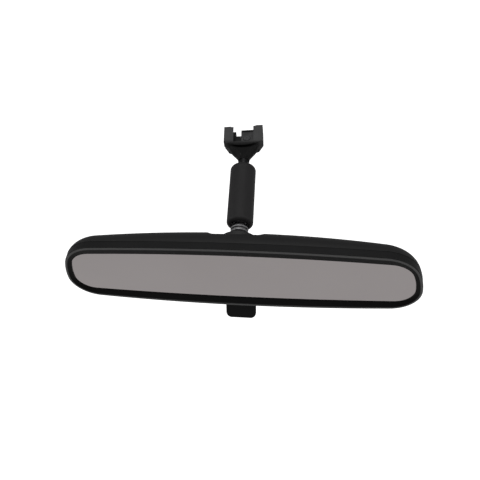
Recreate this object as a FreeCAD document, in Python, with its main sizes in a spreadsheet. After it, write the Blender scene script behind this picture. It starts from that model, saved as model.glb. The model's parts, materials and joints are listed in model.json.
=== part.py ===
import FreeCAD, Part
import math
import os
import re
from FreeCAD import Placement, Rotation, Vector

# Interior rearview mirror: a wedge-glass day/night head on a double-ball arm, held by a channel bracket.
# Frame: origin in the middle of the bracket's mating face, +Z out of that face, the glass faces -Y.
# The head's own places are given from the middle of the glass front: X right, Y backwards, Z up.

doc = FreeCAD.newDocument("RearviewMirror")

SIZES = {
    # glass outline, as seen from the driver
    "glass_width": 240.0, "glass_height": 50.0,
    "crown_top": 1500.0, "crown_bottom": 1860.0,
    "end_radius": 62.0, "end_centre": -11.0,
    "corner_top": 17.7, "corner_bottom": 13.4,
    "glass_thick": 4.6, "wedge_angle": 3.3, "glass_lap": 1.2, "glass_gap": 0.15, "pad_back": 7.3,
    # case outline, as seen from the driver
    "case_width": 249.2, "case_height": 67.0,
    "case_crown_top": 1500.0, "case_crown_bottom": 1130.0,
    "case_end_radius": 67.0, "case_end_centre": -11.0,
    "case_corner_top": 27.0, "case_corner_bottom": 21.0,
    # rim, as distances inside the case outline
    "rim_step": 0.15, "rim_bead": 1.3, "rim_front": 2.0, "rim_back": 3.5, "rim_bevel": 1.4,
    "bead_round": 0.95, "skirt_out": 3.3, "skirt_in": 4.8, "skirt_back": 5.6,
    # case body
    "case_wall": 2.2, "rib_thick": 1.6, "rib_front": 7.6, "rib_half": 16.0,
    "post_front": 8.6, "post_half": 3.5,
    "case_start": 3.6, "case_depth": 21.2,
    "back_crown": 1000.0, "back_round": 17.0, "end_round": 12.0,
    # rear opening and the dome in it
    "window_start": 11.0, "window_half": 19.5, "window_low": -10.8, "window_top": 30.9,
    "window_round": 5.0,
    "dome_gap": 1.7, "dome_step": 1.5, "dome_base": 15.5, "pivot_side": -1.0,
    "boss_top": 7.2, "boss_flare": 12.6, "boss_start": 14.2, "boss_end": 18.0,
    # night tilt pivot
    "pin_radius": 1.5, "pin_back": 10.5, "pin_up": 14.0, "pin_half": 32.6,
    "plate_half": 26.0, "plate_low": -13.0, "plate_top": 20.5, "plate_thick": 2.0,
    "ear_in": 21.0, "ear_out": 24.0, "post_in": 27.0, "post_out": 30.0, "clip_thick": 0.8, "clip_wide": 1.4,
    "screw_side": 15.0, "screw_radius": 1.3, "screw_head": 2.6, "screw_low": -5.8, "screw_high": 6.0,
    # day and night lever
    "way_half": 12.4, "lever_post_in": 12.7, "lever_post_out": 15.4,
    "rivet_side": 5.0, "rivet_down": -10.9, "rivet_radius": 0.9, "leaf_half": 8.0, "leaf_thick": 0.5,
    "leaf_low": -22.0, "leaf_high": -9.6, "cam_half": 5.0, "cam_radius": 1.1,
    "lever_back": 11.5, "lever_down": -26.2, "lever_pin": 1.3, "hub_radius": 2.6,
    "tab_width": 22.4, "tab_length": 26.4, "tab_thick": 3.0, "tab_lean": 32.0, "cam_length": 5.0,
    # double-ball arm
    "ball_radius": 7.0, "liner_gap": 0.05, "liner_wall": 0.95, "fit_gap": 0.05,
    "tube_radius": 9.5, "tube_end": 5.5, "tube_low_more": 1.5, "mouth_radius": 6.5, "tube_round": 3.0,
    "flare_deep": 0.9, "flare_more": 0.8,
    "neck_radius": 3.65, "ball_spacing": 38.0, "cup_back": 11.5, "cup_front": 3.6,
    "guide_radius": 3.4, "guide_length": 2.5, "coil_radius": 5.0, "wire_radius": 0.7, "coil_turns": 4.5,
    "arm_rise": 9.7, "arm_swing": 2.3,
    "mouth_back": 36.4, "mouth_up": 13.5, "neck_reach": 11.6,
    "low_neck": 4.2, "neck_ring": 6.4, "neck_groove": 5.4, "ring_start": 9.0, "ring_high": 1.5,
    "groove_high": 1.2, "shank_radius": 3.0, "nut_start": 19.3, "nut_high": 3.4, "nut_radius": 5.6,
    # windscreen bracket
    "foot_width": 30.2, "foot_front": -6.0, "foot_bow": 4.8, "foot_lip": 5.0, "foot_back": 11.3,
    "foot_thick": 10.6, "foot_swing": 5.6, "ear_tip": 5.4, "ear_lean": 0.5, "ear_high": 0.6,
    "slope_start": -1.5, "slope_turn": 27.7, "pocket_half": 6.2, "pocket_long": 4.6, "pocket_deep": 9.0,
    "neck_front": -21.3, "neck_down": -7.4,
    "channel_top": 15.4, "channel_floor": 18.4, "channel_deep": 5.2, "channel_stop": -6.3,
    "slit_left": -6.1, "slit_right": -2.1, "slit_stop": 5.4,
    "set_radius": 2.5, "set_side": 2.4, "set_along": 1.6, "set_length": 6.4, "key_radius": 1.45,
    "clip_left": -1.9, "clip_right": 8.2, "clip_sheet": 0.6, "clip_stop": 1.6,
}

# places across the case where a rib stands behind the glass
RIBS = (-100, -76, -50, 50, 76, 100)

# throat sections from the foot towards the ball's neck: width, height, corner radius, along Y, along Z
THROAT = (
    ("throat_foot", 27.0, 9.6, 3.0, -3.0, -5.7),
    ("throat_wide", 21.8, 9.0, 3.8, -9.6, -6.1),
    ("throat_middle", 17.0, 8.6, 4.0, -13.5, -6.5),
    ("throat_slim", 12.2, 8.4, 4.0, -16.6, -6.8),
    ("throat_neck", 8.6, 8.4, 4.1, -21.3, -7.4),
)

sheet = doc.addObject("Spreadsheet::Sheet", "Sizes")
for row, (alias, value) in enumerate(SIZES.items(), start=1):
    sheet.set("A%d" % row, alias)
    sheet.set("B%d" % row, str(value))
    sheet.setAlias("B%d" % row, alias)
doc.recompute()


def size(alias):
    """Value of one driving dimension, read from the sheet."""
    return float(sheet.get(alias))


def bind(item, **formulas):
    """Bind properties to formulas written in the sheet's words; __ stands for a dot."""
    for name, formula in formulas.items():
        text = re.sub(r"[a-z]+(?:_[a-z]+)+", lambda word: "Sizes." + word.group(0), str(formula))
        item.setExpression(name.replace("__", "."), text)


def box(name, x, y, z):
    """Block between low and high places along X, Y and Z, each given as a formula."""
    item = doc.addObject("Part::Box", name)
    bind(item, Length="(%s) - (%s)" % (x[1], x[0]), Width="(%s) - (%s)" % (y[1], y[0]),
         Height="(%s) - (%s)" % (z[1], z[0]))
    bind(item, Placement__Base__x=x[0], Placement__Base__y=y[0], Placement__Base__z=z[0])
    return item


TURNS = {"x": Rotation(Vector(0, 1, 0), 90), "y": Rotation(Vector(1, 0, 0), -90), "z": Rotation()}


def place(item, at, along):
    item.Placement = Placement(Vector(), TURNS[along])
    bind(item, Placement__Base__x=at[0], Placement__Base__y=at[1], Placement__Base__z=at[2])
    return item


def rod(name, radius, length, at=(0, 0, 0), along="z"):
    """Cylinder that starts at a place and runs along an axis."""
    item = doc.addObject("Part::Cylinder", name)
    bind(item, Radius=radius, Height=length)
    return place(item, at, along)


def taper(name, first, last, length, at=(0, 0, 0), along="z"):
    item = doc.addObject("Part::Cone", name)
    bind(item, Radius1=first, Radius2=last, Height=length)
    return place(item, at, along)


def ball(name, radius, at=(0, 0, 0)):
    item = doc.addObject("Part::Sphere", name)
    bind(item, Radius=radius)
    return place(item, at, "z")


def cut(name, base, *tools):
    item = doc.addObject("Part::Cut", name)
    item.Base = base
    item.Tool = tools[0] if len(tools) == 1 else fuse(name + "_tools", *tools)
    item.Refine = True
    return item


def fuse(name, *shapes):
    item = doc.addObject("Part::MultiFuse", name)
    item.Shapes = list(shapes)
    item.Refine = True
    return item


def common(name, *shapes):
    item = doc.addObject("Part::MultiCommon", name)
    item.Shapes = list(shapes)
    return item


def rounded(name, base, radius, chosen):
    """Round the edges of a shape that a test picks out."""
    doc.recompute()
    item = doc.addObject("Part::Fillet", name)
    item.Base = base
    item.Edges = [(i, radius, radius) for i, edge in enumerate(base.Shape.Edges, start=1) if chosen(edge)]
    return item


nodes = []


def piece(item, placement=None):
    """Keep an object as one separate piece, at its place in the mirror's frame."""
    if placement is not None:
        item.Placement = placement
    nodes.append(item)
    return item


# ---------------------------------------------------------------- places

def arm_direction():
    rise = math.radians(size("arm_rise"))
    swing = math.radians(size("arm_swing"))
    return Vector(-math.sin(swing) * math.cos(rise), math.cos(swing) * math.cos(rise), math.sin(rise))


ARM = arm_direction()
FOOT = Placement(Vector(), Rotation(Vector(0, 0, 1), size("foot_swing")))
NECK_POINT = FOOT.multVec(Vector(0, size("neck_front"), size("neck_down")))
UPPER_BALL = NECK_POINT - ARM * size("neck_reach")
LOWER_BALL = UPPER_BALL - ARM * size("ball_spacing")
MOUTH = LOWER_BALL - ARM * size("tube_end")
GLASS_MIDDLE = MOUTH - Vector(size("pivot_side"), size("mouth_back"), size("mouth_up"))
HEAD = Placement(GLASS_MIDDLE, Rotation())
# each socket's own frame has its origin in the ball and +Z out of the tube's mouth
UPPER_SOCKET = Placement(UPPER_BALL, Rotation(Vector(0, 0, 1), ARM))
LOWER_SOCKET = Placement(LOWER_BALL, Rotation(Vector(0, 0, 1), ARM * -1))
TUBE_MIDDLE = Placement((UPPER_BALL + LOWER_BALL) * 0.5, Rotation(Vector(0, 0, 1), ARM))


# ---------------------------------------------------------------- head outline

def circle_meet(first, first_radius, second, second_radius):
    """Both crossings of two circles in the plane."""
    apart = second - first
    along = (first_radius ** 2 - second_radius ** 2 + apart.Length ** 2) / (2 * apart.Length)
    aside = math.sqrt(first_radius ** 2 - along ** 2)
    unit = apart * (1 / apart.Length)
    foot = first + unit * along
    normal = Vector(-unit.y, unit.x, 0)
    return foot + normal * aside, foot - normal * aside


def short_arc(centre, start, end):
    """The shorter arc round a centre from one point to another."""
    radius = (start - centre).Length
    middle = (start + end) * 0.5 - centre
    return Part.Arc(start, centre + middle * (radius / middle.Length), end)


def mirrored(point):
    return Vector(-point.x, point.y, 0)


def outline(kind, offset):
    """Ten tangent arcs of the glass or case outline, moved out by an offset."""
    prefix = "" if kind == "glass" else "case_"
    half_width = size(kind + "_width") / 2 + offset
    half_height = size(kind + "_height") / 2 + offset
    top_radius = size(prefix + "crown_top") + offset
    bottom_radius = size(prefix + "crown_bottom") + offset
    end_radius = size(prefix + "end_radius") + offset
    corner_top = size(prefix + "corner_top") + offset
    corner_bottom = size(prefix + "corner_bottom") + offset
    top_centre = Vector(0, half_height - top_radius, 0)
    bottom_centre = Vector(0, bottom_radius - half_height, 0)
    end_centre = Vector(half_width - end_radius, size(prefix + "end_centre"), 0)
    upper = max(circle_meet(top_centre, top_radius - corner_top, end_centre, end_radius - corner_top),
                key=lambda point: point.x + point.y)
    lower = max(circle_meet(bottom_centre, bottom_radius - corner_bottom, end_centre,
                            end_radius - corner_bottom), key=lambda point: point.x - point.y)

    def touch(centre, radius, inner):
        return centre + (inner - centre) * (radius / (inner - centre).Length)

    top, bottom = Vector(0, half_height, 0), Vector(0, -half_height, 0)
    first = touch(top_centre, top_radius, upper)
    second = touch(end_centre, end_radius, upper)
    third = touch(end_centre, end_radius, lower)
    fourth = touch(bottom_centre, bottom_radius, lower)
    right_half = [(top_centre, top, first), (upper, first, second), (end_centre, second, third),
                  (lower, third, fourth), (bottom_centre, fourth, bottom)]
    left_half = [(mirrored(centre), mirrored(end), mirrored(start))
                 for centre, start, end in reversed(right_half)]
    return [short_arc(centre, start, end) for centre, start, end in right_half + left_half]


def outline_sketch(name, kind, offset, back):
    """Sketch of an outline, standing upright at a distance behind the glass front."""
    sketch = doc.addObject("Sketcher::SketchObject", name)
    sketch.addGeometry(outline(kind, offset))
    sketch.Placement = Placement(Vector(), Rotation(Vector(1, 0, 0), 90))
    bind(sketch, Placement__Base__y=back)
    return sketch


def slab(name, kind, offset, front, back):
    """Solid of an outline between two distances behind the glass front."""
    item = doc.addObject("Part::Extrusion", name)
    item.Base = outline_sketch(name + "_sketch", kind, offset, front)
    item.DirMode = "Custom"
    item.Dir = Vector(0, 1, 0)
    item.Solid = True
    bind(item, LengthFwd="(%s) - (%s)" % (back, front))
    return item


def edge_at_back(edge, back):
    return abs(edge.BoundBox.YMin - back) < 0.01 and abs(edge.BoundBox.YMax - back) < 0.01


def back_solid(name, inset):
    """Case solid: the outline run back to a crowned rear face, its rear edge rounded most in the middle."""
    blank = slab(name + "_slab", "case", -inset, "case_start", "2 * case_depth")
    crown = doc.addObject("Part::Cylinder", name + "_crown")
    bind(crown, Radius="back_crown - %s" % inset, Height="4 * case_height")
    bind(crown, Placement__Base__y="case_depth - back_crown", Placement__Base__z="-2 * case_height")
    crowned = common(name + "_crowned", blank, crown)
    crowned.Refine = True
    doc.recompute()

    def radius_at(point):
        far = min(1.0, abs(point.x) / (size("case_width") / 2))
        return size("back_round") + (size("end_round") - size("back_round")) * far ** 2 - inset

    edges = []
    for i, edge in enumerate(crowned.Shape.Edges, start=1):
        if edge.BoundBox.YMin > size("case_start") + 5:
            start, end = edge.firstVertex().Point, edge.lastVertex().Point
            # the radii are given in the clockwise sense, as seen from the front
            if start.x * end.z > start.z * end.x:
                start, end = end, start
            edges.append((i, radius_at(start), radius_at(end)))
    item = doc.addObject("Part::Fillet", name)
    item.Base = crowned
    item.Edges = edges
    return item


# ---------------------------------------------------------------- glass and rim

def wedge_cutter(name, gap):
    """Half space behind the glass's sloping back, as a large block."""
    reach = size("glass_width")
    item = doc.addObject("Part::Box", name)
    bind(item, Length="2 * glass_width", Width="glass_width", Height="2 * glass_width")
    tilt = Rotation(Vector(1, 0, 0), -size("wedge_angle"))
    corner = tilt.multVec(Vector(-reach, 0, -reach)) + Vector(0, size("glass_thick") + gap, 0)
    item.Placement = Placement(corner, tilt)
    return item


def make_glass():
    blank = slab("glass_blank", "glass", size("glass_lap"), "0.02", "8")
    piece(cut("prism_glass", blank, wedge_cutter("glass_slope", 0.0)), HEAD)


def make_pad():
    blank = slab("pad_blank", "glass", size("glass_lap") / 2, "0.1", "pad_back")
    piece(common("glass_backing_pad", blank, wedge_cutter("pad_slope", 0.05)), HEAD)


def make_rim():
    """Rim with a rounded outer bead, a bevel down to the glass and a skirt inside the case."""
    step = size("rim_step")
    blank = slab("rim_blank", "case", -step, "-rim_front", "rim_back")
    bead = rounded("rim_rounded", blank, size("bead_round"),
                   lambda edge: edge_at_back(edge, -size("rim_front")))
    sight = slab("rim_sight", "glass", 0.0, "-rim_front - 1", "rim_back + 1")
    rabbet = slab("rim_rabbet", "glass", size("glass_lap") + size("glass_gap"), "0", "skirt_back + 1")
    bevel = doc.addObject("Part::Loft", "rim_bevel_cut")
    bevel.Sections = [outline_sketch("bevel_inner", "glass", 0.0, "rim_bevel - rim_front"),
                      outline_sketch("bevel_outer", "case", -size("rim_bead"), "-rim_front - 0.02")]
    bevel.Solid = True
    bevel.Ruled = True
    skirt = slab("rim_skirt", "case", -size("skirt_out"), "rim_back - 0.5", "skirt_back")
    skirt_core = slab("rim_skirt_core", "case", -size("skirt_in"), "rim_back", "skirt_back + 1")
    whole = fuse("rim_whole", bead, skirt)
    lever_way = box("rim_lever_way", ("pivot_side - way_half", "pivot_side + way_half"), ("rim_back", "20"),
                    ("-case_height", "-18"))
    piece(cut("bezel_ring", whole, sight, rabbet, bevel, skirt_core, lever_way), HEAD)


# ---------------------------------------------------------------- case

def make_case():
    """Domed shell with the rear opening, the lever's slot, the pins' posts and six ribs behind the glass."""
    outer = back_solid("case_outer", 0.0)
    inner = back_solid("case_inner", size("case_wall"))
    blocks = []
    for side in (-1, 1):
        low, high = sorted((side * size("post_in"), side * size("post_out")))
        blocks.append(box("case_post_%d" % (side + 1), (low, high), ("post_front", "case_depth + 1"),
                          ("pin_up - post_half", "pin_up + post_half")))
        low, high = sorted((side * size("lever_post_in"), side * size("lever_post_out")))
        blocks.append(box("lever_post_%d" % (side + 1), ("pivot_side + %s" % low, "pivot_side + %s" % high),
                          ("lever_back - 2.5", "lever_back + 2.5"), ("-case_height", "lever_down + 2.8")))
    for number, across in enumerate(RIBS):
        blocks.append(box("case_rib_%d" % number, ("%s - rib_thick / 2" % across,
                                                   "%s + rib_thick / 2" % across),
                          ("rib_front", "case_depth + 1"), ("-rib_half", "rib_half")))
    inside = common("case_inside_blocks", outer, fuse("case_blocks", *blocks))
    whole = fuse("case_whole", cut("case_shell", outer, inner), inside)
    window_block = box("window_block", ("-window_half", "window_half"), ("window_start", "30"),
                       ("window_low", "window_top"))
    window = rounded("window_cut", window_block, size("window_round"),
                     lambda edge: edge.BoundBox.YLength > 14)
    lever_way = box("case_lever_way", ("pivot_side - way_half", "pivot_side + way_half"),
                    ("0", "lever_back + 2.7"), ("-case_height", "-22"))
    bore = rod("case_pin_bore", "pin_radius", "80", ("-40", "pin_back", "pin_up"), "x")
    lever_bore = rod("case_lever_bore", "lever_pin", "60", ("-30", "lever_back", "lever_down"), "x")
    piece(cut("rear_case", whole, window, lever_way, bore, lever_bore), HEAD)


def make_pins():
    """Two plain pins with broken edges, and the rings that keep the long one in its posts."""
    long_pin = rod("pivot_pin_rod", "pin_radius", "2 * pin_half", ("-pin_half", "pin_back", "pin_up"), "x")
    piece(rounded("pivot_pin", long_pin, 0.3, lambda edge: edge.BoundBox.XLength < 0.01), HEAD)
    short_pin = rod("lever_pin_rod", "lever_pin", "2 * lever_post_out",
                    ("pivot_side - lever_post_out", "lever_back", "lever_down"), "x")
    piece(rounded("lever_pin", short_pin, 0.3, lambda edge: edge.BoundBox.XLength < 0.01), HEAD)
    clips = []
    for side in (-1, 1):
        start = "post_out" if side > 0 else "-post_out - clip_thick"
        disc = rod("clip_disc_%d" % (side + 1), "pin_radius + clip_wide", "clip_thick",
                   (start, "pin_back", "pin_up"), "x")
        hole = rod("clip_hole_%d" % (side + 1), "pin_radius", "clip_thick + 2",
                   ("%s - 1" % start, "pin_back", "pin_up"), "x")
        clips.append(cut("clip_%d" % (side + 1), disc, hole))
    piece(fuse("pivot_pin_clips", *clips), HEAD)


# ---------------------------------------------------------------- pivot inside the case

def make_pivot_plate():
    """Plate that stays with the arm, with two ears round the pivot pin."""
    face = box("plate_face", ("-plate_half", "plate_half"), ("dome_base - plate_thick", "dome_base"),
               ("plate_low", "plate_top"))
    parts = [rounded("plate_rounded", face, 4.0, lambda edge: edge.BoundBox.YLength > 1.9
                     and edge.BoundBox.XLength < 0.1)]
    for side in (-1, 1):
        low, high = sorted((side * size("ear_in"), side * size("ear_out")))
        parts.append(box("plate_ear_%d" % (side + 1), (low, high), ("pin_back - 2.3", "dome_base - 1"),
                         ("pin_up - 3.4", "pin_up + 3.4")))
    whole = fuse("plate_whole", *parts)
    bore = rod("plate_bore", "pin_radius + fit_gap", "60", ("-30", "pin_back", "pin_up"), "x")
    holes = [rod("plate_hole_%d" % i, "screw_radius", "10", (x, "dome_base - 6", z), "y")
             for i, (x, z) in enumerate(screw_places())]
    holes += [rod("plate_rivet_hole_%d" % i, "rivet_radius", "10", (x, "dome_base - 6", "rivet_down"), "y")
              for i, x in enumerate(rivet_places())]
    piece(cut("pivot_plate", whole, bore, *holes), HEAD)


def screw_places():
    return [(x, z) for x in ("-screw_side", "screw_side") for z in ("screw_low", "screw_high")]


def rivet_places():
    return "pivot_side - rivet_side", "pivot_side + rivet_side"


def make_dome_screws():
    screws = []
    for i, (x, z) in enumerate(screw_places()):
        shank = rod("screw_shank_%d" % i, "screw_radius", "6.5", (x, "dome_base - plate_thick", z), "y")
        head = rod("screw_top_%d" % i, "screw_head", "1.3", (x, "dome_base - plate_thick - 1.3", z), "y")
        screws.append(fuse("screw_%d" % i, shank, head))
    piece(fuse("dome_screws", *screws), HEAD)


def make_dome():
    """Cover that fills the rear opening a step below the case and rises to the ball stud."""
    step = size("dome_step")
    skin = back_solid("dome_skin", step)
    across = ("dome_gap - window_half", "window_half - dome_gap")
    upright = ("window_low + dome_gap", "window_top - dome_gap")
    patch_block = box("patch_block", across, ("dome_base", "40"), upright)
    patch_round = rounded("patch_round", patch_block, size("window_round") - 1,
                          lambda edge: edge.BoundBox.YLength > 20)
    lip = box("dome_lip_block", across, ("window_start + 0.8", "dome_base + 1"),
              ("plate_top + 0.5", "window_top - dome_gap"))
    patch = common("dome_patch", skin, fuse("dome_blocks", patch_round, lip))
    flare = taper("boss_flare_cone", "boss_top", "boss_flare", "boss_end - boss_start",
                  (0, 0, "boss_start"))
    core = rod("boss_core", "boss_flare", "7", (0, 0, "boss_end"))
    top = fuse("boss_shape", flare, core)
    boss = rounded("dome_boss", top, 1.6, lambda edge: abs(edge.BoundBox.ZMin - size("boss_start")) < 0.01
                   and edge.BoundBox.ZLength < 0.01)
    socket = HEAD.inverse().multiply(LOWER_SOCKET)
    boss.Placement = socket
    boss_block = box("boss_block", across, ("dome_base + 0.5", "60"), upright)
    boss_in = common("boss_in_window", boss, boss_block)
    whole = fuse("dome_whole", patch, boss_in)
    stud_hole = rod("stud_hole", "shank_radius", "20", (0, 0, 10))
    nut_room = rod("nut_room", "nut_radius + 0.6", "20", (0, 0, "nut_start - 0.1"))
    ways = fuse("stud_ways", stud_hole, nut_room)
    ways.Placement = socket
    holes = [rod("dome_hole_%d" % i, "screw_radius", "5", (x, "dome_base - 0.5", z), "y")
             for i, (x, z) in enumerate(screw_places())]
    piece(cut("pivot_dome", whole, ways, *holes), HEAD)


def make_toggle_spring():
    """Leaf that the lever's cam presses on, riveted to the pivot plate."""
    leaf = box("leaf_blade", ("pivot_side - leaf_half", "pivot_side + leaf_half"),
               ("dome_base", "dome_base + leaf_thick"), ("leaf_low", "leaf_high"))
    holes = [rod("leaf_hole_%d" % i, "rivet_radius", "4", (x, "dome_base - 1", "rivet_down"), "y")
             for i, x in enumerate(rivet_places())]
    piece(cut("toggle_spring", leaf, *holes), HEAD)
    rivets = []
    for i, x in enumerate(rivet_places()):
        shank = rod("rivet_shank_%d" % i, "rivet_radius", "plate_thick + leaf_thick",
                    (x, "dome_base - plate_thick", "rivet_down"), "y")
        head = rod("rivet_head_%d" % i, "rivet_radius + 0.7", "0.6",
                   (x, "dome_base - plate_thick - 0.6", "rivet_down"), "y")
        tail = rod("rivet_tail_%d" % i, "rivet_radius + 0.35", "0.4",
                   (x, "dome_base + leaf_thick", "rivet_down"), "y")
        rivets.append(fuse("rivet_%d" % i, shank, head, tail))
    piece(fuse("toggle_spring_rivets", *rivets), HEAD)


def make_lever():
    """Tab, hub and cam in one, made hanging straight down from its pin and then leaned forward."""
    half = "tab_width / 2"
    blade = box("tab_blade", ("-" + half, half), ("-tab_thick / 2", "tab_thick / 2"), ("-tab_length", "0"))
    tab = rounded("tab_rounded", blade, 4.2, lambda edge: edge.BoundBox.YLength > 2.9
                  and edge.BoundBox.ZMax < -20)
    soft = rounded("tab_soft", tab, 0.8, lambda edge: edge.BoundBox.YLength < 0.01
                   and edge.BoundBox.ZMin < -size("tab_length") / 2)
    hub = rod("lever_hub", "hub_radius", "tab_width", ("-" + half, 0, 0), "x")
    cam = box("lever_cam", ("-cam_half", "cam_half"), ("-cam_radius", "cam_radius"), ("0", "cam_length"))
    nose = rod("lever_nose", "cam_radius", "2 * cam_half", ("-cam_half", 0, "cam_length"), "x")
    whole = fuse("lever_whole", soft, hub, cam, nose)
    bore = rod("lever_bore", "lever_pin + fit_gap", "40", ("-20", 0, 0), "x")
    lean = Placement(Vector(size("pivot_side"), size("lever_back"), size("lever_down")),
                     Rotation(Vector(1, 0, 0), -size("tab_lean")))
    piece(cut("day_night_lever", whole, bore), HEAD.multiply(lean))


# ---------------------------------------------------------------- double-ball arm

def make_tube():
    """Plain tube, swaged in at both ends to a round seat and a flared mouth."""
    half = "ball_spacing / 2 + tube_end"
    blank = rod("tube_blank", "tube_radius", "2 * (%s) + tube_low_more" % half,
                (0, 0, "-(%s) - tube_low_more" % half))
    skin = rounded("tube_skin", blank, size("tube_round"), lambda edge: edge.BoundBox.ZLength < 0.01)
    seat = "ball_radius + liner_gap + liner_wall + fit_gap"
    bore = rod("tube_bore", seat, "ball_spacing", (0, 0, "-ball_spacing / 2"))
    tools = [bore, rod("tube_mouth", "mouth_radius", "2 * (%s) + 4" % half, (0, 0, "-(%s) - 2" % half))]
    for side in (-1, 1):
        tools.append(ball("tube_seat_%d" % (side + 1), seat, (0, 0, "%d * ball_spacing / 2" % side)))
    tools.append(taper("flare_up", "mouth_radius", "mouth_radius + flare_more", "flare_deep",
                       (0, 0, "%s - flare_deep + 0.01" % half)))
    tools.append(taper("flare_down", "mouth_radius + flare_more", "mouth_radius", "flare_deep",
                       (0, 0, "-(%s) - tube_low_more - 0.01" % half)))
    piece(cut("arm_tube", skin, *tools), TUBE_MIDDLE)


def make_socket(name, placement):
    """Bearing liner round the ball, and the piston cup that the spring presses on it."""
    inner = ball(name + "_liner_inner", "ball_radius + liner_gap")
    outer = ball(name + "_liner_outer", "ball_radius + liner_gap + liner_wall")
    zone = rod(name + "_liner_zone", "20", "9", (0, 0, -5))
    shell = cut(name + "_liner_shell", outer, inner)
    piece(common(name + "_bearing_liner", shell, zone), placement)
    seat = "ball_radius + liner_gap + liner_wall + fit_gap"
    barrel = rod(name + "_cup_barrel", "(%s) - fit_gap" % seat, "cup_back - cup_front", (0, 0, "-cup_back"))
    guide = rod(name + "_cup_guide", "guide_radius", "guide_length + 0.5", (0, 0,
                                                                            "-cup_back - guide_length"))
    whole = fuse(name + "_cup_whole", barrel, guide)
    hollow = ball(name + "_cup_hollow", seat)
    piece(cut(name + "_thrust_cup", whole, hollow), placement)


def make_spring():
    """Coil between the two cups, with the wire's ends ground flat."""
    room = size("ball_spacing") - 2 * size("cup_back") - 0.1
    wire = size("wire_radius")
    turns = size("coil_turns")
    rise = room - 2 * wire
    helix = doc.addObject("Part::Helix", "spring_path")
    bind(helix, Radius="coil_radius",
         Pitch="(ball_spacing - 2 * cup_back - 0.1 - 2 * wire_radius) / coil_turns",
         Height="ball_spacing - 2 * cup_back - 0.1 - 2 * wire_radius")
    section = doc.addObject("Part::Circle", "spring_section")
    bind(section, Radius="wire_radius")
    slope = math.degrees(math.atan2(rise / turns, 2 * math.pi * size("coil_radius")))
    section.Placement = Placement(Vector(size("coil_radius"), 0, 0), Rotation(Vector(1, 0, 0), 90 + slope))
    coil = doc.addObject("Part::Sweep", "arm_spring")
    coil.Sections = [section]
    coil.Spine = (helix, [])
    coil.Solid = True
    coil.Frenet = True
    middle = TUBE_MIDDLE.multiply(Placement(Vector(0, 0, -rise / 2), Rotation()))
    piece(coil, middle)


def make_studs():
    """Ball studs: the upper one is pressed into the bracket, the lower one is bolted in the dome."""
    top_ball = ball("upper_ball", "ball_radius")
    top_neck = rod("upper_neck", "neck_radius", "neck_reach + 8", (0, 0, 3))
    piece(fuse("upper_ball_stud", top_ball, top_neck), UPPER_SOCKET)
    low_ball = ball("lower_ball", "ball_radius")
    low_neck = rod("lower_neck", "low_neck", "boss_start - 3", (0, 0, 3))
    rings = []
    for i in (0, 1):
        start = "ring_start + %d * (ring_high + groove_high)" % i
        disc = rod("neck_ring_%d" % i, "neck_ring", "ring_high", (0, 0, start))
        rings.append(rounded("neck_ring_soft_%d" % i, disc, 0.5, lambda edge: edge.BoundBox.ZLength < 0.01))
    groove = rod("neck_groove", "neck_groove", "boss_start - ring_start - 0.5", (0, 0, "ring_start + 0.5"))
    shank = rod("lower_shank", "shank_radius", "10", (0, 0, "boss_start - 1"))
    piece(fuse("lower_ball_stud", low_ball, low_neck, groove, shank, *rings), LOWER_SOCKET)
    nut = doc.addObject("Part::Prism", "nut_block")
    nut.Polygon = 6
    bind(nut, Circumradius="nut_radius", Height="nut_high", Placement__Base__z="nut_start")
    bore = rod("nut_bore", "shank_radius", "nut_high + 2", (0, 0, "nut_start - 1"))
    piece(cut("stud_nut", nut, bore), LOWER_SOCKET)


# ---------------------------------------------------------------- windscreen bracket

def foot_plan():
    """Plan of the foot: straight sides, two leaning ear tips and a rounded front."""
    half = size("foot_width") / 2
    back = size("foot_back")
    front = size("foot_front")
    floor_back = back - size("ear_high")
    tip = half - size("ear_tip")
    root = tip - size("ear_lean")
    return [
        Part.LineSegment(Vector(half, front, 0), Vector(half, back, 0)),
        Part.LineSegment(Vector(half, back, 0), Vector(tip, back, 0)),
        Part.LineSegment(Vector(tip, back, 0), Vector(root, floor_back, 0)),
        Part.LineSegment(Vector(root, floor_back, 0), Vector(-root, floor_back, 0)),
        Part.LineSegment(Vector(-root, floor_back, 0), Vector(-tip, back, 0)),
        Part.LineSegment(Vector(-tip, back, 0), Vector(-half, back, 0)),
        Part.LineSegment(Vector(-half, back, 0), Vector(-half, front, 0)),
        Part.Arc(Vector(-half, front, 0), Vector(0, front - size("foot_bow"), 0), Vector(half, front, 0)),
    ]


def soft_rectangle(name, width, height, corner, along, down):
    """Upright rounded rectangle, for the throat between the foot and the ball's neck."""
    x, y = width / 2, height / 2
    inner_x, inner_y = x - corner, y - corner
    bend = corner * math.sqrt(0.5)
    edges = [
        Part.LineSegment(Vector(-inner_x, y, 0), Vector(inner_x, y, 0)),
        Part.Arc(Vector(inner_x, y, 0), Vector(inner_x + bend, inner_y + bend, 0), Vector(x, inner_y, 0)),
        Part.LineSegment(Vector(x, inner_y, 0), Vector(x, -inner_y, 0)),
        Part.Arc(Vector(x, -inner_y, 0), Vector(inner_x + bend, -inner_y - bend, 0), Vector(inner_x, -y, 0)),
        Part.LineSegment(Vector(inner_x, -y, 0), Vector(-inner_x, -y, 0)),
        Part.Arc(Vector(-inner_x, -y, 0), Vector(-inner_x - bend, -inner_y - bend, 0),
                 Vector(-x, -inner_y, 0)),
        Part.LineSegment(Vector(-x, -inner_y, 0), Vector(-x, inner_y, 0)),
        Part.Arc(Vector(-x, inner_y, 0), Vector(-inner_x - bend, inner_y + bend, 0), Vector(-inner_x, y, 0)),
    ]
    sketch = doc.addObject("Sketcher::SketchObject", name)
    sketch.addGeometry(edges)
    sketch.Placement = Placement(Vector(0, along, down), Rotation(Vector(1, 0, 0), 90))
    return sketch


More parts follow.
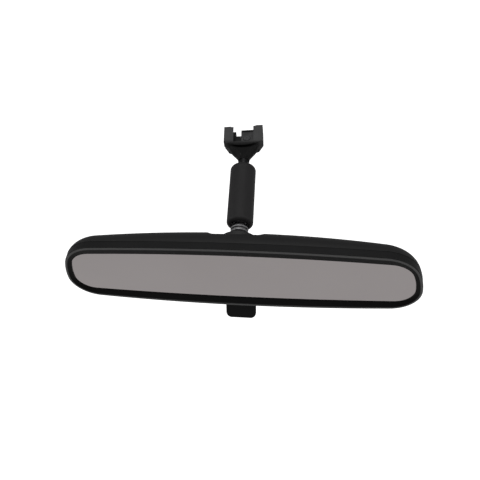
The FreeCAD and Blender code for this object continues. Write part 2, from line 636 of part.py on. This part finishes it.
def make_bracket():
    """Foot with a dovetail channel for the windscreen button, and a throat down to the ball's neck."""
    plan = doc.addObject("Sketcher::SketchObject", "foot_sketch")
    plan.addGeometry(foot_plan())
    foot = doc.addObject("Part::Extrusion", "foot_block")
    foot.Base = plan
    foot.DirMode = "Custom"
    foot.Dir = Vector(0, 0, -1)
    foot.Solid = True
    bind(foot, LengthFwd="foot_thick")
    slopes = []
    for side in (-1, 1):
        slope = doc.addObject("Part::Box", "foot_slope_%d" % (side + 1))
        bind(slope, Length="foot_width", Width="2 * foot_width", Height="foot_width")
        # the block's inner edge runs forward and inward from the side of the foot
        corner = Placement(Vector(side * size("foot_width") / 2, size("slope_start"), 0),
                           Rotation(Vector(0, 0, 1), -side * size("slope_turn")))
        inner = Vector(0 if side > 0 else -size("foot_width"), -2 * size("foot_width"),
                       -size("foot_lip") - size("foot_width"))
        slope.Placement = corner.multiply(Placement(inner, Rotation()))
        slopes.append(slope)
    throat = doc.addObject("Part::Loft", "foot_throat")
    throat.Sections = [soft_rectangle(*section) for section in THROAT]
    throat.Solid = True
    whole = fuse("foot_whole", cut("foot_tapered", foot, *slopes), throat)
    channel_sketch = doc.addObject("Sketcher::SketchObject", "channel_sketch")
    top = size("channel_top") / 2
    floor = size("channel_floor") / 2
    deep = size("channel_deep")
    slope = (floor - top) / deep
    corners = [Vector(-top + slope, 1, 0), Vector(top - slope, 1, 0),
               Vector(floor, -deep, 0), Vector(-floor, -deep, 0)]
    channel_sketch.addGeometry([Part.LineSegment(corners[i], corners[(i + 1) % 4]) for i in range(4)])
    channel_sketch.Placement = Placement(Vector(), Rotation(Vector(1, 0, 0), 90))
    bind(channel_sketch, Placement__Base__y="channel_stop")
    channel = doc.addObject("Part::Extrusion", "channel_cut")
    channel.Base = channel_sketch
    channel.DirMode = "Custom"
    channel.Dir = Vector(0, 1, 0)
    channel.Solid = True
    bind(channel, LengthFwd="foot_back - channel_stop + 5")
    pocket = box("pocket_cut", ("-pocket_half", "pocket_half"), ("channel_stop",
                                                                 "channel_stop + pocket_long"),
                 ("-pocket_deep", "0"))
    slit = box("slit_cut", ("slit_left", "slit_right"), ("slit_stop", "20"), ("-20", "0"))
    tapped = rod("tapped_hole", "set_radius", "20", ("set_side", "set_along", "-20"))
    stud_room = doc.addObject("Part::Cylinder", "stud_room")
    bind(stud_room, Radius="neck_radius", Height="neck_reach + 11")
    stud_room.Placement = FOOT.inverse().multiply(UPPER_SOCKET)
    piece(cut("windshield_bracket", whole, channel, pocket, slit, tapped, stud_room), FOOT)


def make_set_screw():
    shank = rod("set_shank", "set_radius", "set_length",
                ("set_side", "set_along", "-channel_deep - set_length + 0.8"))
    hexagon = doc.addObject("Part::Prism", "set_hexagon")
    hexagon.Polygon = 6
    bind(hexagon, Circumradius="key_radius", Height="3", Placement__Base__x="set_side",
         Placement__Base__y="set_along", Placement__Base__z="-channel_deep - set_length + 0.4")
    top = rod("set_dimple", "1", "0.4", ("set_side", "set_along", "-channel_deep + 0.5"))
    piece(cut("bracket_set_screw", shank, hexagon, top), FOOT)


def make_clip():
    """Leaf on the channel floor, with a hole round the set screw and a raised end stop."""
    across = ("clip_left", "clip_right")
    leaf = box("leaf_plate", across, ("set_along - 3.9", "foot_back - 1"),
               ("-channel_deep", "-channel_deep + clip_sheet"))
    stop = box("leaf_stop", across, ("foot_back - 1 - clip_sheet", "foot_back - 1"),
               ("-channel_deep", "-channel_deep + clip_stop"))
    whole = fuse("leaf_whole", leaf, stop)
    hole = rod("leaf_round_hole", "set_radius + 0.3", "4", ("set_side", "set_along", "-channel_deep - 1"))
    piece(cut("bracket_retaining_clip", whole, hole), FOOT)


# ---------------------------------------------------------------- build and write

make_glass()
make_pad()
make_rim()
make_case()
make_pins()
make_pivot_plate()
make_dome_screws()
make_dome()
make_toggle_spring()
make_lever()
make_tube()
make_socket("upper", UPPER_SOCKET)
make_socket("lower", LOWER_SOCKET)
make_spring()
make_studs()
make_bracket()
make_set_screw()
make_clip()
doc.recompute()

for item in doc.Objects:
    if "Invalid" in item.State or "Error" in item.State:
        raise RuntimeError("%s failed: %s" % (item.Name, item.State))
os.makedirs("parts", exist_ok=True)
for item in nodes:
    shape = item.Shape
    if shape.isNull() or not shape.isValid():
        raise RuntimeError("%s has no valid shape" % item.Label)
for item in nodes:
    item.Shape.exportStep(os.path.join("parts", item.Label + ".step"))
    print("%-26s solids %d volume %9.1f" % (item.Label, len(item.Shape.Solids), item.Shape.Volume))
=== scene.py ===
"""Looks of the interior rearview mirror: materials, the foam pad, studio and camera."""

import json
import math

import bmesh
import bpy
from mathutils import Matrix, Vector, noise


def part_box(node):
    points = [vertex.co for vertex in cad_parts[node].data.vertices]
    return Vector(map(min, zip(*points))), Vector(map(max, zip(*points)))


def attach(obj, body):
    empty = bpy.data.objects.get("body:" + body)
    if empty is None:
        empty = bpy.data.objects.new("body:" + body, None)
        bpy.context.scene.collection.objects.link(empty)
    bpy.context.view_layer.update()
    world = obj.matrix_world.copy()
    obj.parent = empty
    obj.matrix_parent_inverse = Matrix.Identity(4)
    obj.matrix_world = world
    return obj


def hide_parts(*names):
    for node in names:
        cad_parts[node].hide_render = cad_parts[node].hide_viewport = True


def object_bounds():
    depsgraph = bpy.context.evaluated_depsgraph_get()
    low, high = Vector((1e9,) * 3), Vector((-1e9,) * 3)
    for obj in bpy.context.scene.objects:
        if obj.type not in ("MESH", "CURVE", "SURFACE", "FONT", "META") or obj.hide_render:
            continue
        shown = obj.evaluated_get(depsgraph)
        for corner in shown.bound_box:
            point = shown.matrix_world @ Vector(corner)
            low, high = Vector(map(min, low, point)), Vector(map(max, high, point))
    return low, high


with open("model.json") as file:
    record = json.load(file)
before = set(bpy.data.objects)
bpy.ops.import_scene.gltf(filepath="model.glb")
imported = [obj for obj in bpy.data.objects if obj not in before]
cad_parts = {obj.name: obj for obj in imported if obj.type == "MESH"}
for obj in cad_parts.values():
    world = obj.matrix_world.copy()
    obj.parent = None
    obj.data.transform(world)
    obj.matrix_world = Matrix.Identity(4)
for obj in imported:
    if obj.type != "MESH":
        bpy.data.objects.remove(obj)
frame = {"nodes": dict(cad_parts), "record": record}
cad_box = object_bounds()
NODES = frame["nodes"]
MM = 0.001

# The glass's middle, from the CAD box of the glass.
GLASS_LOW, GLASS_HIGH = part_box("prism_glass")
GLASS_MIDDLE = Vector(((GLASS_LOW.x + GLASS_HIGH.x) / 2, GLASS_LOW.y, (GLASS_LOW.z + GLASS_HIGH.z) / 2))


# ---------------------------------------------------------------- node helpers

class Shader:
    """A material with its node tree and a few shortcuts for procedural patterns."""

    def __init__(self, name):
        self.material = bpy.data.materials.new(name)
        self.material.use_nodes = True
        self.tree = self.material.node_tree
        self.surface = self.tree.nodes["Principled BSDF"]
        coordinates = self.node("ShaderNodeTexCoord")
        self.place = coordinates.outputs["Object"]
        self.normal = coordinates.outputs["Normal"]

    def node(self, kind, **values):
        made = self.tree.nodes.new(kind)
        for key, value in values.items():
            setattr(made, key, value)
        return made

    def link(self, source, target):
        self.tree.links.new(source, target)

    def fixed(self, **values):
        """Values that are the same all over the surface, set on the shader's own sockets."""
        for key, value in values.items():
            self.surface.inputs[key.replace("_", " ")].default_value = value

    def stretched(self, scale):
        """Object coordinates in metres, stretched per axis."""
        mapping = self.node("ShaderNodeMapping")
        mapping.inputs["Scale"].default_value = scale
        self.link(self.place, mapping.inputs["Vector"])
        return mapping.outputs["Vector"]

    def noise(self, size, detail=3.0, roughness=0.55, vector=None):
        """Noise whose lumps are about size metres across."""
        made = self.node("ShaderNodeTexNoise")
        made.inputs["Scale"].default_value = 1.0 / size
        made.inputs["Detail"].default_value = detail
        made.inputs["Roughness"].default_value = roughness
        self.link(vector or self.place, made.inputs["Vector"])
        return made.outputs["Fac"]

    def cells(self, size, vector=None):
        """Distance to the nearest of a scatter of points about size metres apart."""
        made = self.node("ShaderNodeTexVoronoi")
        made.inputs["Scale"].default_value = 1.0 / size
        self.link(vector or self.place, made.inputs["Vector"])
        return made.outputs["Distance"]

    def ramp(self, value, stops):
        """Colour ramp of (position, colour) stops."""
        made = self.node("ShaderNodeValToRGB")
        ramp = made.color_ramp
        while len(ramp.elements) < len(stops):
            ramp.elements.new(0.5)
        for element, (position, colour) in zip(ramp.elements, stops):
            element.position = position
            element.color = (*colour, 1.0)
        self.link(value, made.inputs["Fac"])
        return made.outputs["Color"]

    def span(self, value, low, high):
        """The 0 to 1 value carried to a range."""
        made = self.node("ShaderNodeMapRange")
        made.inputs["To Min"].default_value = low
        made.inputs["To Max"].default_value = high
        self.link(value, made.inputs["Value"])
        return made.outputs["Result"]

    def rise(self, value, low, high, interpolation="LINEAR"):
        """0 to 1 value as another goes from low to high."""
        made = self.node("ShaderNodeMapRange", interpolation_type=interpolation)
        made.inputs["From Min"].default_value = low
        made.inputs["From Max"].default_value = high
        self.link(value, made.inputs["Value"])
        return made.outputs["Result"]

    def along(self, vector, axis):
        """One component of a vector."""
        parts = self.node("ShaderNodeSeparateXYZ")
        self.link(vector, parts.inputs[0])
        return parts.outputs[axis]

    def facing(self, axis, low, high):
        """0 to 1 value as the surface's own normal turns along an object axis."""
        return self.rise(self.along(self.normal, axis), low, high)

    def height(self, axis, low, high):
        """0 to 1 value along one object axis, between two places in metres."""
        return self.rise(self.along(self.place, axis), low, high, "SMOOTHSTEP")

    def blend(self, amount, first, second):
        """Mix of two colours by a 0 to 1 value."""
        made = self.node("ShaderNodeMix", data_type="RGBA")
        self.link(amount, made.inputs["Factor"])
        for socket, value in ((made.inputs[6], first), (made.inputs[7], second)):
            if isinstance(value, bpy.types.NodeSocket):
                self.link(value, socket)
            else:
                socket.default_value = (*value, 1.0)
        return made.outputs[2]

    def bump(self, height, depth, strength=1.0, below=None):
        """Bump of a real depth in metres, on top of another bump if one is given."""
        made = self.node("ShaderNodeBump")
        made.inputs["Distance"].default_value = depth
        made.inputs["Strength"].default_value = strength
        self.link(height, made.inputs["Height"])
        if below is not None:
            self.link(below, made.inputs["Normal"])
        self.link(made.outputs["Normal"], self.surface.inputs["Normal"])
        return made.outputs["Normal"]

    def edges(self, low, high):
        """0 to 1 value that rises on worn outer edges."""
        return self.rise(self.node("ShaderNodeNewGeometry").outputs["Pointiness"], low, high)


def grained_plastic(name, dark, light, grain=0.00045, depth=0.00003, rough=(0.42, 0.55)):
    """Moulded plastic with an eroded mould's fine grain and a slow change of tone."""
    shader = Shader(name)
    cloudy = shader.noise(0.03, detail=4.0)
    shader.link(shader.ramp(cloudy, [(0.3, dark), (0.7, light)]), shader.surface.inputs["Base Color"])
    fine = shader.noise(grain, detail=2.0)
    shader.link(shader.span(fine, *rough), shader.surface.inputs["Roughness"])
    coarse = shader.bump(shader.noise(0.012, detail=2.0), 0.00006, 0.35)
    shader.bump(fine, depth, 0.8, below=coarse)
    shader.fixed(IOR=1.49, Specular_IOR_Level=0.5)
    return shader.material


RIM_CREST_START, RIM_CREST_END = 0.08 * MM, 0.35 * MM
RIM_BEVEL_START, RIM_BEVEL_END = -0.45, -0.85


def toned_rim(name, side_dark, side_light, bevel, crest):
    """Moulded rim in three tones by place: sides, darker bevel to the glass, paler foremost edge.

    The pale edge and the dark bevel are colour. They stand in for the highlight and the shade that the
    light would give a glossier bead, and they are the same from every side.
    """
    shader = Shader(name)
    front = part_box("bezel_ring")[0].y
    cloudy = shader.noise(0.02, detail=4.0)
    side = shader.ramp(cloudy, [(0.3, side_dark), (0.7, side_light)])
    tone = shader.blend(shader.facing("Y", RIM_BEVEL_START, RIM_BEVEL_END), side, bevel)
    inward = shader.height("Y", front + RIM_CREST_START, front + RIM_CREST_END)
    shader.link(shader.blend(inward, crest, tone), shader.surface.inputs["Base Color"])
    fine = shader.noise(0.0006, detail=2.0)
    shader.link(shader.span(fine, 0.36, 0.46), shader.surface.inputs["Roughness"])
    shader.bump(fine, 0.00002, 0.7)
    shader.fixed(IOR=1.49, Specular_IOR_Level=0.12)
    return shader.material


def satin_paint(name, dark, light, rough=(0.3, 0.42), peel=0.0009, depth=0.00002):
    """Powder coat: an even satin with faint orange peel."""
    shader = Shader(name)
    cloudy = shader.noise(0.02, detail=4.0)
    shader.link(shader.ramp(cloudy, [(0.35, dark), (0.7, light)]), shader.surface.inputs["Base Color"])
    shader.link(shader.span(shader.noise(0.0015), *rough), shader.surface.inputs["Roughness"])
    shader.bump(shader.noise(peel, detail=1.0), depth, 0.7)
    shader.fixed(IOR=1.5, Specular_IOR_Level=0.2)
    return shader.material


COAT_DEEP_Z, COAT_FLAT_Z = -6.4 * MM, -1.0 * MM
COAT_DEEP_Y, COAT_FLAT_Y = -8.5 * MM, -4.0 * MM


def cast_coat(name, dark, light, deep):
    """Black coated die casting: a pebbled skin in two tones by place, with scuffed edges.

    The upper flats are paler, and the channel and throat darker. The dark tone is colour that stands in
    for the shade there.
    """
    shader = Shader(name)
    cloudy = shader.noise(0.006, detail=5.0)
    flats = shader.ramp(cloudy, [(0.3, dark), (0.75, light)])
    lesser = shader.node("ShaderNodeMath", operation="MINIMUM")
    shader.link(shader.height("Z", COAT_DEEP_Z, COAT_FLAT_Z), lesser.inputs[0])
    shader.link(shader.height("Y", COAT_DEEP_Y, COAT_FLAT_Y), lesser.inputs[1])
    tone = shader.blend(lesser.outputs[0], deep, flats)
    worn = shader.edges(0.53, 0.62)
    scuffed = shader.node("ShaderNodeMath", operation="MULTIPLY")
    shader.link(worn, scuffed.inputs[0])
    shader.link(shader.span(shader.noise(0.0008, detail=4.0), 0.0, 0.7), scuffed.inputs[1])
    shader.link(shader.blend(scuffed.outputs[0], tone, (0.12, 0.12, 0.122)),
                shader.surface.inputs["Base Color"])
    shader.link(shader.span(shader.noise(0.0006), 0.38, 0.55), shader.surface.inputs["Roughness"])
    pits = shader.bump(shader.cells(0.0007), 0.00004, 0.5)
    shader.bump(shader.noise(0.0004, detail=3.0), 0.00003, 0.6, below=pits)
    shader.fixed(IOR=1.5, Specular_IOR_Level=0.16)
    return shader.material


def metal(name, dark, light, rough, stretch=(1.0, 1.0, 1.0), line=0.0004, depth=0.000006):
    """Worked metal with its tool marks drawn out along one direction."""
    shader = Shader(name)
    vector = shader.stretched(stretch)
    marks = shader.noise(line, detail=4.0, vector=vector)
    shader.link(shader.ramp(shader.noise(0.004, detail=5.0), [(0.3, dark), (0.7, light)]),
                shader.surface.inputs["Base Color"])
    shader.link(shader.span(marks, *rough), shader.surface.inputs["Roughness"])
    shader.bump(marks, depth, 0.8)
    shader.fixed(Metallic=1.0)
    return shader.material


def mirror_glass(name):
    """Silvered glass: an even warm grey with a trace of wiping marks in its gloss."""
    shader = Shader(name)
    haze = shader.noise(0.05, detail=3.0)
    shader.link(shader.ramp(haze, [(0.3, (0.79, 0.725, 0.72)), (0.7, (0.81, 0.745, 0.74))]),
                shader.surface.inputs["Base Color"])
    wiped = shader.noise(0.01, detail=5.0, vector=shader.stretched((0.25, 1.0, 1.4)))
    shader.link(shader.span(wiped, 0.02, 0.05), shader.surface.inputs["Roughness"])
    shader.fixed(Metallic=1.0, Coat_Weight=0.3, Coat_Roughness=0.01, Coat_IOR=1.52)
    return shader.material


def foam(name):
    """Closed-cell foam with its cut cells."""
    shader = Shader(name)
    pores = shader.cells(0.0009)
    shader.link(shader.ramp(pores, [(0.1, (0.02, 0.02, 0.02)), (0.6, (0.07, 0.07, 0.068))]),
                shader.surface.inputs["Base Color"])
    shader.bump(pores, 0.0002, 0.9)
    shader.fixed(Roughness=0.9)
    return shader.material


MATERIALS = {
    "case_plastic": grained_plastic("case_plastic", (0.0125, 0.0125, 0.0130), (0.0155, 0.0155, 0.016)),
    "rim_plastic": toned_rim("rim_plastic", (0.019, 0.019, 0.0195), (0.023, 0.023, 0.0235),
                              (0.0052, 0.005, 0.0053), (0.24, 0.24, 0.24)),
    "lever_plastic": grained_plastic("lever_plastic", (0.006, 0.006, 0.0065), (0.008, 0.008, 0.0085),
                                     rough=(0.4, 0.5)),
    "arm_paint": satin_paint("arm_paint", (0.033, 0.032, 0.033), (0.038, 0.037, 0.038),
                             rough=(0.42, 0.54)),
    "bracket_metal": cast_coat("bracket_metal", (0.085, 0.085, 0.086), (0.11, 0.11, 0.112),
                               (0.005, 0.005, 0.0052)),
    "black_stud": metal("black_stud", (0.03, 0.03, 0.031), (0.05, 0.05, 0.051), (0.25, 0.4), (1, 40, 1)),
    "stud_metal": metal("stud_metal", (0.27, 0.27, 0.275), (0.38, 0.38, 0.385), (0.34, 0.5), (1, 60, 1)),
    "plated_steel": metal("plated_steel", (0.2, 0.2, 0.21), (0.32, 0.32, 0.33), (0.22, 0.36)),
    "spring_steel": metal("spring_steel", (0.16, 0.16, 0.165), (0.25, 0.25, 0.255), (0.28, 0.42),
                          (1, 1, 20)),
    "cup_metal": metal("cup_metal", (0.35, 0.35, 0.36), (0.45, 0.45, 0.46), (0.3, 0.45)),
    "plate_metal": metal("plate_metal", (0.38, 0.38, 0.4), (0.5, 0.5, 0.51), (0.3, 0.45), (20, 1, 1)),
    "liner_plastic": grained_plastic("liner_plastic", (0.5, 0.5, 0.48), (0.6, 0.6, 0.58), depth=0.00001,
                                     rough=(0.35, 0.45)),
    "mirror_glass": mirror_glass("mirror_glass"),
    "foam": foam("foam"),
}


def dress_cad_nodes():
    """Give every CAD piece the material of its slot in the record."""
    slots = {entry["node"]: entry["material_slot"] for entry in frame["record"]["subparts"]}
    for name, item in NODES.items():
        item.data.materials.clear()
        item.data.materials.append(MATERIALS[slots[name]])


dress_cad_nodes()


# ---------------------------------------------------------------- foam pad

PAD_SKIN = 0.03 * MM
PAD_CELL = 2.4 * MM
PAD_SAG = 0.12 * MM
PAD_FLAT = math.radians(1.0)


def make_foam_pad():
    """Foam pad behind the glass: the CAD pad's wedge with a slightly sunken, uneven cut skin."""
    source = NODES["glass_backing_pad"]
    shape = bmesh.new()
    shape.from_mesh(source.data)
    bmesh.ops.dissolve_limit(shape, angle_limit=PAD_FLAT, verts=shape.verts, edges=shape.edges)
    low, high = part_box("glass_backing_pad")
    for axis in (0, 2):
        count = int((high[axis] - low[axis]) / PAD_CELL)
        for step in range(1, count):
            at, normal = Vector((0.0, 0.0, 0.0)), Vector((0.0, 0.0, 0.0))
            at[axis] = low[axis] + (high[axis] - low[axis]) * step / count
            normal[axis] = 1.0
            bmesh.ops.bisect_plane(shape, geom=shape.verts[:] + shape.edges[:] + shape.faces[:],
                                   plane_co=at, plane_no=normal)
    shape.normal_update()
    middle = (low + high) / 2
    for vert in shape.verts:
        # no point goes outward: the pad stays inside the CAD pad's own space
        deep = PAD_SKIN + PAD_SAG * (0.5 + 0.5 * noise.noise((vert.co - middle) / (1.5 * PAD_CELL)))
        vert.co -= vert.normal * deep
    bmesh.ops.triangulate(shape, faces=shape.faces)
    mesh = bpy.data.meshes.new("foam_pad")
    shape.to_mesh(mesh)
    shape.free()
    pad = bpy.data.objects.new("foam_pad", mesh)
    bpy.context.scene.collection.objects.link(pad)
    mesh.materials.append(MATERIALS["foam"])
    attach(pad, "head")
    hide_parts("glass_backing_pad")


make_foam_pad()


# ---------------------------------------------------------------- studio

FLOOR_DROP = 0.45
FLOOR_SIZE = 6.0
FLOOR_WHITE, FLOOR_GLOW = 1.0, 0.06
WORLD_WHITE, WORLD_GLOW = 1.0, 0.14
TOP_PLACE, TOP_SIZE, TOP_POWER = Vector((0.0, 0.2, 1.2)), (1.4, 0.9), 4.2
SIDE_PLACE, SIDE_SIZE, SIDE_POWER = Vector((1.1, 0.1, 0.5)), (0.5, 1.1), 2.2


def make_floor():
    """Pale floor well below the part."""
    mesh = bpy.data.meshes.new("studio_floor")
    half, level = FLOOR_SIZE / 2, cad_box[0][2] - FLOOR_DROP
    corners = [(-half, -half, level), (half, -half, level), (half, half, level), (-half, half, level)]
    mesh.from_pydata(corners, [], [(0, 1, 2, 3)])
    floor = bpy.data.objects.new("studio_floor", mesh)
    bpy.context.scene.collection.objects.link(floor)
    shader = Shader("studio_floor")
    cloudy = shader.noise(0.8)
    shader.link(shader.ramp(cloudy, [(0.0, (0.8, 0.8, 0.8)), (1.0, (0.82, 0.82, 0.82))]),
                shader.surface.inputs["Base Color"])
    # white where the camera sees it, and much dimmer as a light on the part
    seen = shader.node("ShaderNodeLightPath").outputs["Is Camera Ray"]
    shader.link(shader.span(seen, FLOOR_GLOW, FLOOR_WHITE), shader.surface.inputs["Emission Strength"])
    shader.fixed(Roughness=0.9, Emission_Color=(1.0, 1.0, 1.0, 1.0))
    mesh.materials.append(shader.material)


def area_light(name, place, target, spread, power):
    data = bpy.data.lights.new(name, "AREA")
    data.shape = "RECTANGLE"
    data.size, data.size_y = spread
    data.energy = power
    lamp = bpy.data.objects.new(name, data)
    lamp.location = place
    lamp.rotation_euler = (Vector(target) - Vector(place)).to_track_quat("-Z", "Y").to_euler()
    bpy.context.scene.collection.objects.link(lamp)


def make_lights():
    middle = (Vector(cad_box[0]) + Vector(cad_box[1])) / 2
    opposite = Vector((-SIDE_PLACE.x, SIDE_PLACE.y, SIDE_PLACE.z))
    area_light("top_softbox", middle + TOP_PLACE, middle, TOP_SIZE, TOP_POWER)
    area_light("left_softbox", middle + opposite, middle, SIDE_SIZE, SIDE_POWER)
    area_light("right_softbox", middle + SIDE_PLACE, middle, SIDE_SIZE, SIDE_POWER)


def make_world():
    world = bpy.data.worlds.new("studio_world")
    world.use_nodes = True
    background = world.node_tree.nodes["Background"]
    background.inputs["Color"].default_value = (1.0, 1.0, 1.0, 1.0)
    # white where the camera sees it, and a dim even light on the part
    path = world.node_tree.nodes.new("ShaderNodeLightPath")
    level = world.node_tree.nodes.new("ShaderNodeMapRange")
    level.inputs["To Min"].default_value = WORLD_GLOW
    level.inputs["To Max"].default_value = WORLD_WHITE
    world.node_tree.links.new(path.outputs["Is Camera Ray"], level.inputs["Value"])
    world.node_tree.links.new(level.outputs["Result"], background.inputs["Strength"])
    bpy.context.scene.world = world


# ---------------------------------------------------------------- camera

CAMERA_AZIMUTH = math.radians(12.6)
CAMERA_ELEVATION = math.radians(50.9)
CAMERA_ROLL = math.radians(-8.0)
CAMERA_DISTANCE = 380.0 * MM
CAMERA_RIGHT, CAMERA_UP = 2.0 * MM, 25.7 * MM
CAMERA_LENS = 41.475


def make_camera():
    """Camera above and in front of the glass, a little to the right, leaning to one side."""
    level = math.cos(CAMERA_ELEVATION)
    toward = Vector((level * math.sin(CAMERA_AZIMUTH), -level * math.cos(CAMERA_AZIMUTH),
                     math.sin(CAMERA_ELEVATION)))
    right = Vector((math.cos(CAMERA_AZIMUTH), math.sin(CAMERA_AZIMUTH), 0.0))
    up = toward.cross(right)
    lean = Matrix.Rotation(CAMERA_ROLL, 3, toward)
    right, up = lean @ right, lean @ up
    data = bpy.data.cameras.new("studio_camera")
    data.lens = CAMERA_LENS
    data.sensor_width = 36.0
    data.clip_start = 0.01
    camera = bpy.data.objects.new("studio_camera", data)
    axes = Matrix((right, up, toward)).transposed()
    spot = GLASS_MIDDLE + toward * CAMERA_DISTANCE + right * CAMERA_RIGHT + up * CAMERA_UP
    camera.matrix_world = Matrix.Translation(spot) @ axes.to_4x4()
    bpy.context.scene.collection.objects.link(camera)
    bpy.context.scene.camera = camera


make_floor()
make_lights()
make_world()
make_camera()
bpy.context.scene.view_settings.view_transform = "Standard"
